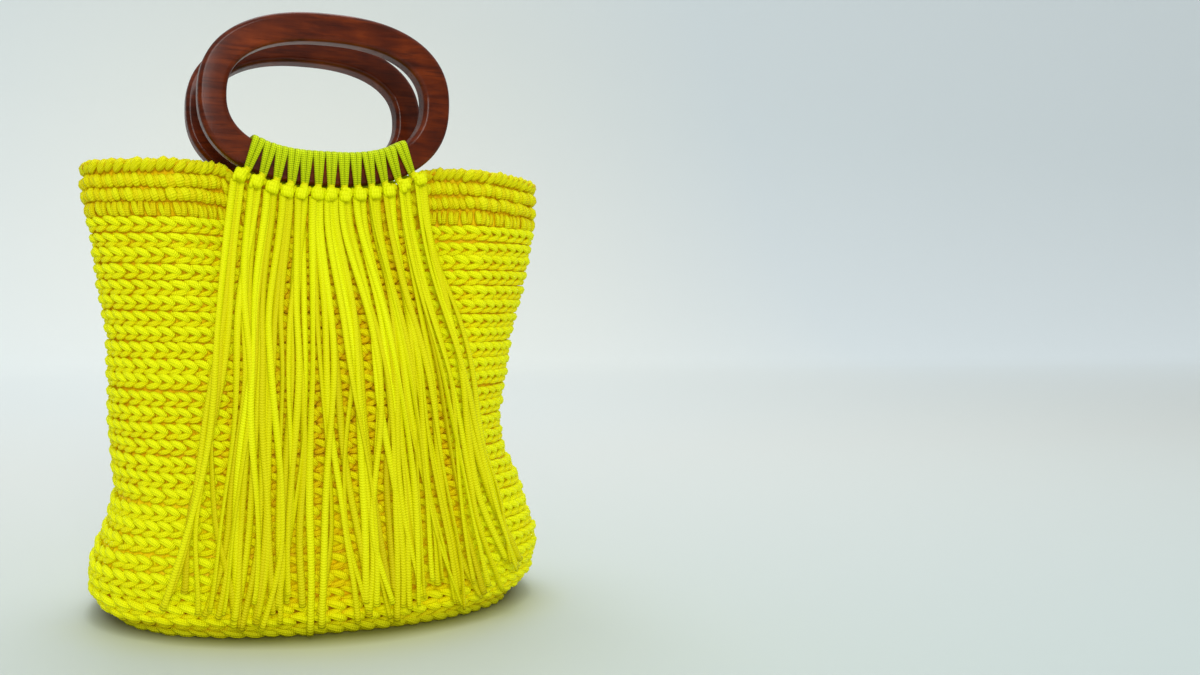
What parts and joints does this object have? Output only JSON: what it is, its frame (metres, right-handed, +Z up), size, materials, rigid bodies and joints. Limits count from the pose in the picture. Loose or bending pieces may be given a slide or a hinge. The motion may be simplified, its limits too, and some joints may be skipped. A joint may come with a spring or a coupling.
{
  "type": "crochet bag",
  "caption": "Crochet tote bag with an oval base, a pinched waist, oval wooden ring handles tied on with cord loops, and a long cord fringe.",
  "frame": {"origin": "on the floor, under the middle of the bag's box", "axes": "+X to the viewer's right along the bag's width, the fringed front faces -Y, +Z up"},
  "size_m": [0.3492, 0.1612, 0.4251],
  "materials": {
    "yellow_cord": "crocheted from neon yellow braided polyester cord",
    "loop_cord": "flattened open-mesh cord, yellow-green",
    "stained_wood": "dark red-brown stain under gloss varnish"
  },
  "bodies": {
    "root": {"crochet_body": "yellow_cord", "handle_front": "stained_wood", "handle_back": "stained_wood", "tie_front_01": "loop_cord", "tie_front_02": "loop_cord", "tie_front_03": "loop_cord", "tie_front_04": "loop_cord", "tie_front_05": "loop_cord", "tie_front_06": "loop_cord", "tie_front_07": "loop_cord", "tie_front_08": "loop_cord", "tie_front_09": "loop_cord", "tie_front_10": "loop_cord", "tie_front_11": "loop_cord", "tie_front_12": "loop_cord", "tie_front_13": "loop_cord", "tie_back_01": "loop_cord", "tie_back_02": "loop_cord", "tie_back_03": "loop_cord", "tie_back_04": "loop_cord", "tie_back_05": "loop_cord", "tie_back_06": "loop_cord", "tie_back_07": "loop_cord", "tie_back_08": "loop_cord", "tie_back_09": "loop_cord", "tie_back_10": "loop_cord", "tie_back_11": "loop_cord", "tie_back_12": "loop_cord", "tie_back_13": "loop_cord", "fringe_front": "yellow_cord"}
  },
  "joints": []
}
